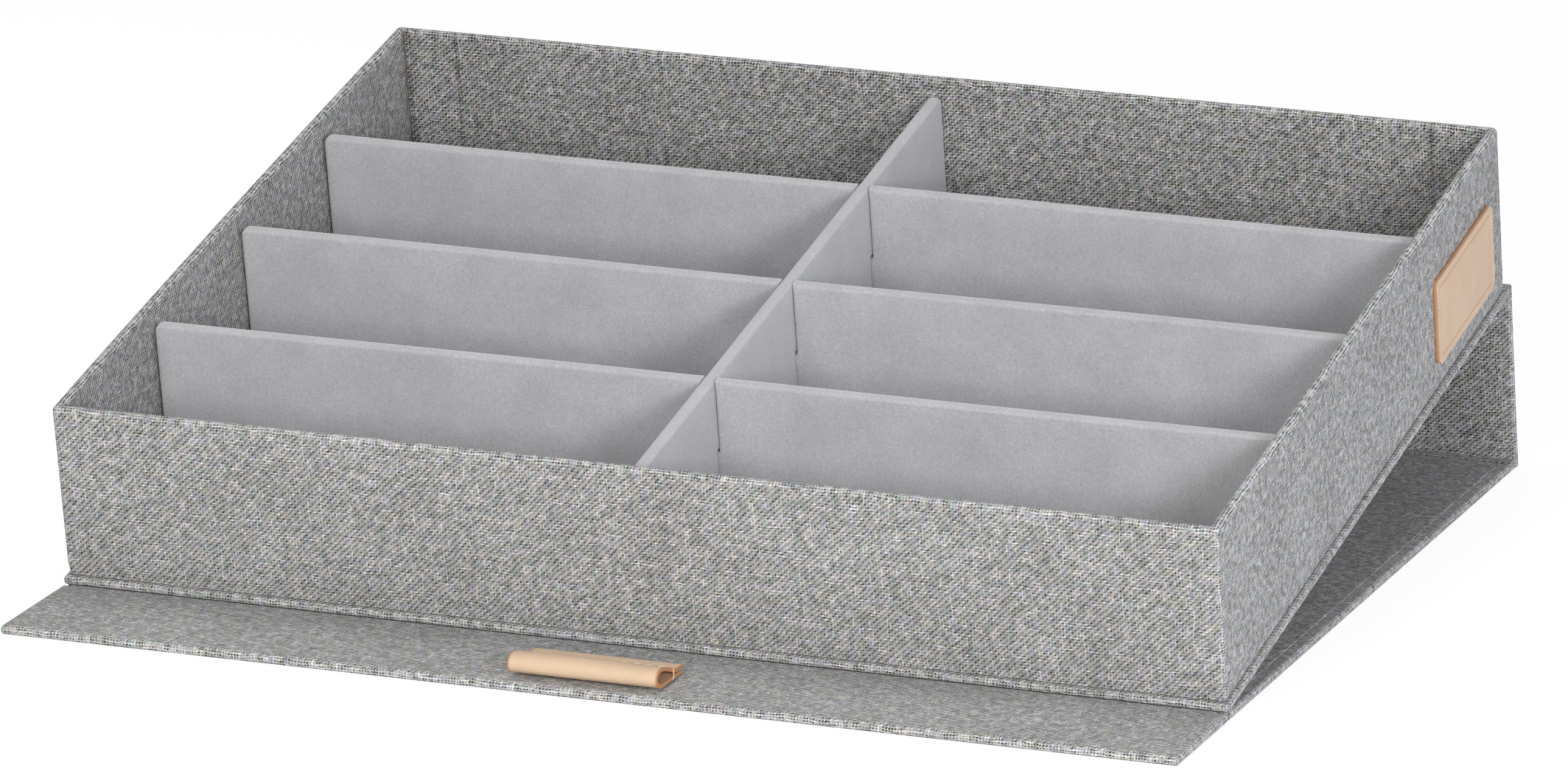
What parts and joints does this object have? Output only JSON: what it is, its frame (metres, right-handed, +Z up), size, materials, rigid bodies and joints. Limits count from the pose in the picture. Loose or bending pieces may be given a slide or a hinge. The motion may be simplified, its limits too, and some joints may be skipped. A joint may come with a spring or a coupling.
{
  "type": "glasses box",
  "caption": "Cloth-covered tray with lined compartments for glasses on a folding board cover that props it as a display stand.",
  "frame": {"origin": "under the middle of the whole object, on the surface it stands on", "axes": "+X to the right along the tray's long side, +Y to the rear, towards the spine, +Z up"},
  "size_m": [0.3326, 0.307, 0.1045],
  "materials": {
    "cloth_linen": "coarse grey melange linen-look weave over board",
    "velour_grey": "soft light grey velour",
    "greyboard": "plain grey board",
    "leather_tan": "smooth natural tan leather with cut edges",
    "thread_cream": "cream sewing thread"
  },
  "bodies": {
    "tray": {"base_board": "cloth_linen", "base_facing": "cloth_linen", "tray_bottom": "greyboard", "tray_floor_lining": "velour_grey", "tray_front_wall": "cloth_linen", "tray_rear_wall": "cloth_linen", "tray_left_wall": "cloth_linen", "tray_right_wall": "cloth_linen", "long_divider": "velour_grey", "cross_divider_front": "velour_grey", "cross_divider_middle": "velour_grey", "cross_divider_rear": "velour_grey", "side_label": "leather_tan"},
    "spine": {"spine_board": "cloth_linen", "spine_facing": "cloth_linen", "spine_hinge_cloth": "cloth_linen"},
    "lid": {"lid_board": "cloth_linen", "lid_facing": "cloth_linen", "lid_hinge_cloth": "cloth_linen"},
    "flap": {"flap_board": "cloth_linen", "flap_facing": "cloth_linen", "flap_hinge_cloth": "cloth_linen", "pull_tab": "leather_tan", "pull_tab_thread": "thread_cream"}
  },
  "joints": [
    {"name": "spine_hinge", "type": "hinge", "parent": "tray", "child": "spine", "pos_m": [-0.00025, 0.14157, 0.05424], "axis": [1, 0, 0], "range_deg": [0, 180], "deforming": ["spine_hinge_cloth"]},
    {"name": "lid_hinge", "type": "hinge", "parent": "spine", "child": "lid", "pos_m": [-0.00025, 0.15221, 0.0013], "axis": [1, 0, 0], "range_deg": [0, 191.36], "deforming": ["lid_hinge_cloth"]},
    {"name": "flap_hinge", "type": "hinge", "parent": "lid", "child": "flap", "pos_m": [-0.00025, -0.10829, 0.0026], "axis": [1, 0, 0], "range_deg": [0, 90], "deforming": ["flap_hinge_cloth"]}
  ]
}
